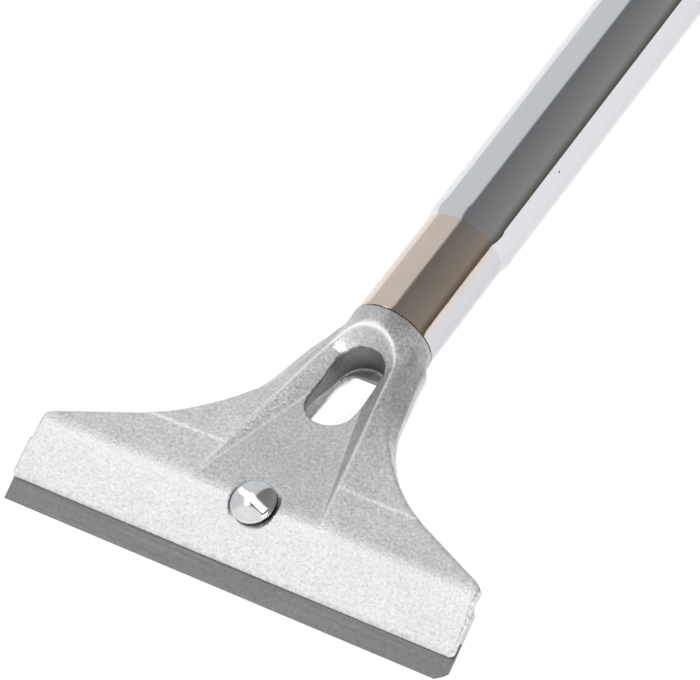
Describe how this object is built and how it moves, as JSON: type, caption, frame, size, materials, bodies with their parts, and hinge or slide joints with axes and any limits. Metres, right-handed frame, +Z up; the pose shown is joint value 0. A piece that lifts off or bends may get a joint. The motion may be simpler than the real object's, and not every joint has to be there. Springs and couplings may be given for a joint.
{
  "type": "algae scraper",
  "caption": "Hand scraper with a straight steel blade clamped in a die-cast jaw by a slotted screw, on a swaged chrome tube handle with a ribbed grip.",
  "frame": {"origin": "centre of the tool's outline at the level of its lowest side, the tool lying face up", "axes": "+X along the blade, to the right as seen from above with the grip away from the viewer; +Y along the handle from blade to grip; +Z up, out of the jaw's face side"},
  "size_m": [0.1024, 0.305, 0.0268],
  "materials": {
    "casting": "fine-grained satin die casting",
    "blade": "ground steel strip",
    "plate": "zinc-plated pressing",
    "fastener": "bright zinc plate",
    "washer": "oiled spring steel",
    "tube": "bright chrome plate",
    "pin": "plain steel",
    "plug": "moulded",
    "grip": "soft matte grip"
  },
  "bodies": {
    "tool": {"head_casting": "casting", "lock_washer": "washer", "handle_tube": "tube", "tube_pin": "pin", "tube_plug": "plug", "grip_sleeve": "grip"},
    "blade": {"scraper_blade": "blade"},
    "clamp": {"clamp_plate": "plate", "square_nut": "fastener"},
    "screw": {"clamp_screw": "fastener"}
  },
  "joints": [
    {"name": "screw_turn", "type": "hinge", "parent": "tool", "child": "screw", "pos_m": [0, -0.13719, 0.01684], "axis": [0, -0.2215, 0.9751], "range_deg": [0, 1080]},
    {"name": "clamp_open", "type": "slide", "parent": "tool", "child": "clamp", "axis": [0, 0.2215, -0.9751], "range_m": [0, 0.0024]},
    {"name": "blade_slide", "type": "slide", "parent": "tool", "child": "blade", "axis": [1, 0, 0], "range_m": [0, 0.1]}
  ],
  "couplings": [
    {"joint": "screw_turn", "follows": "clamp_open", "rad_per_m": 7854}
  ]
}
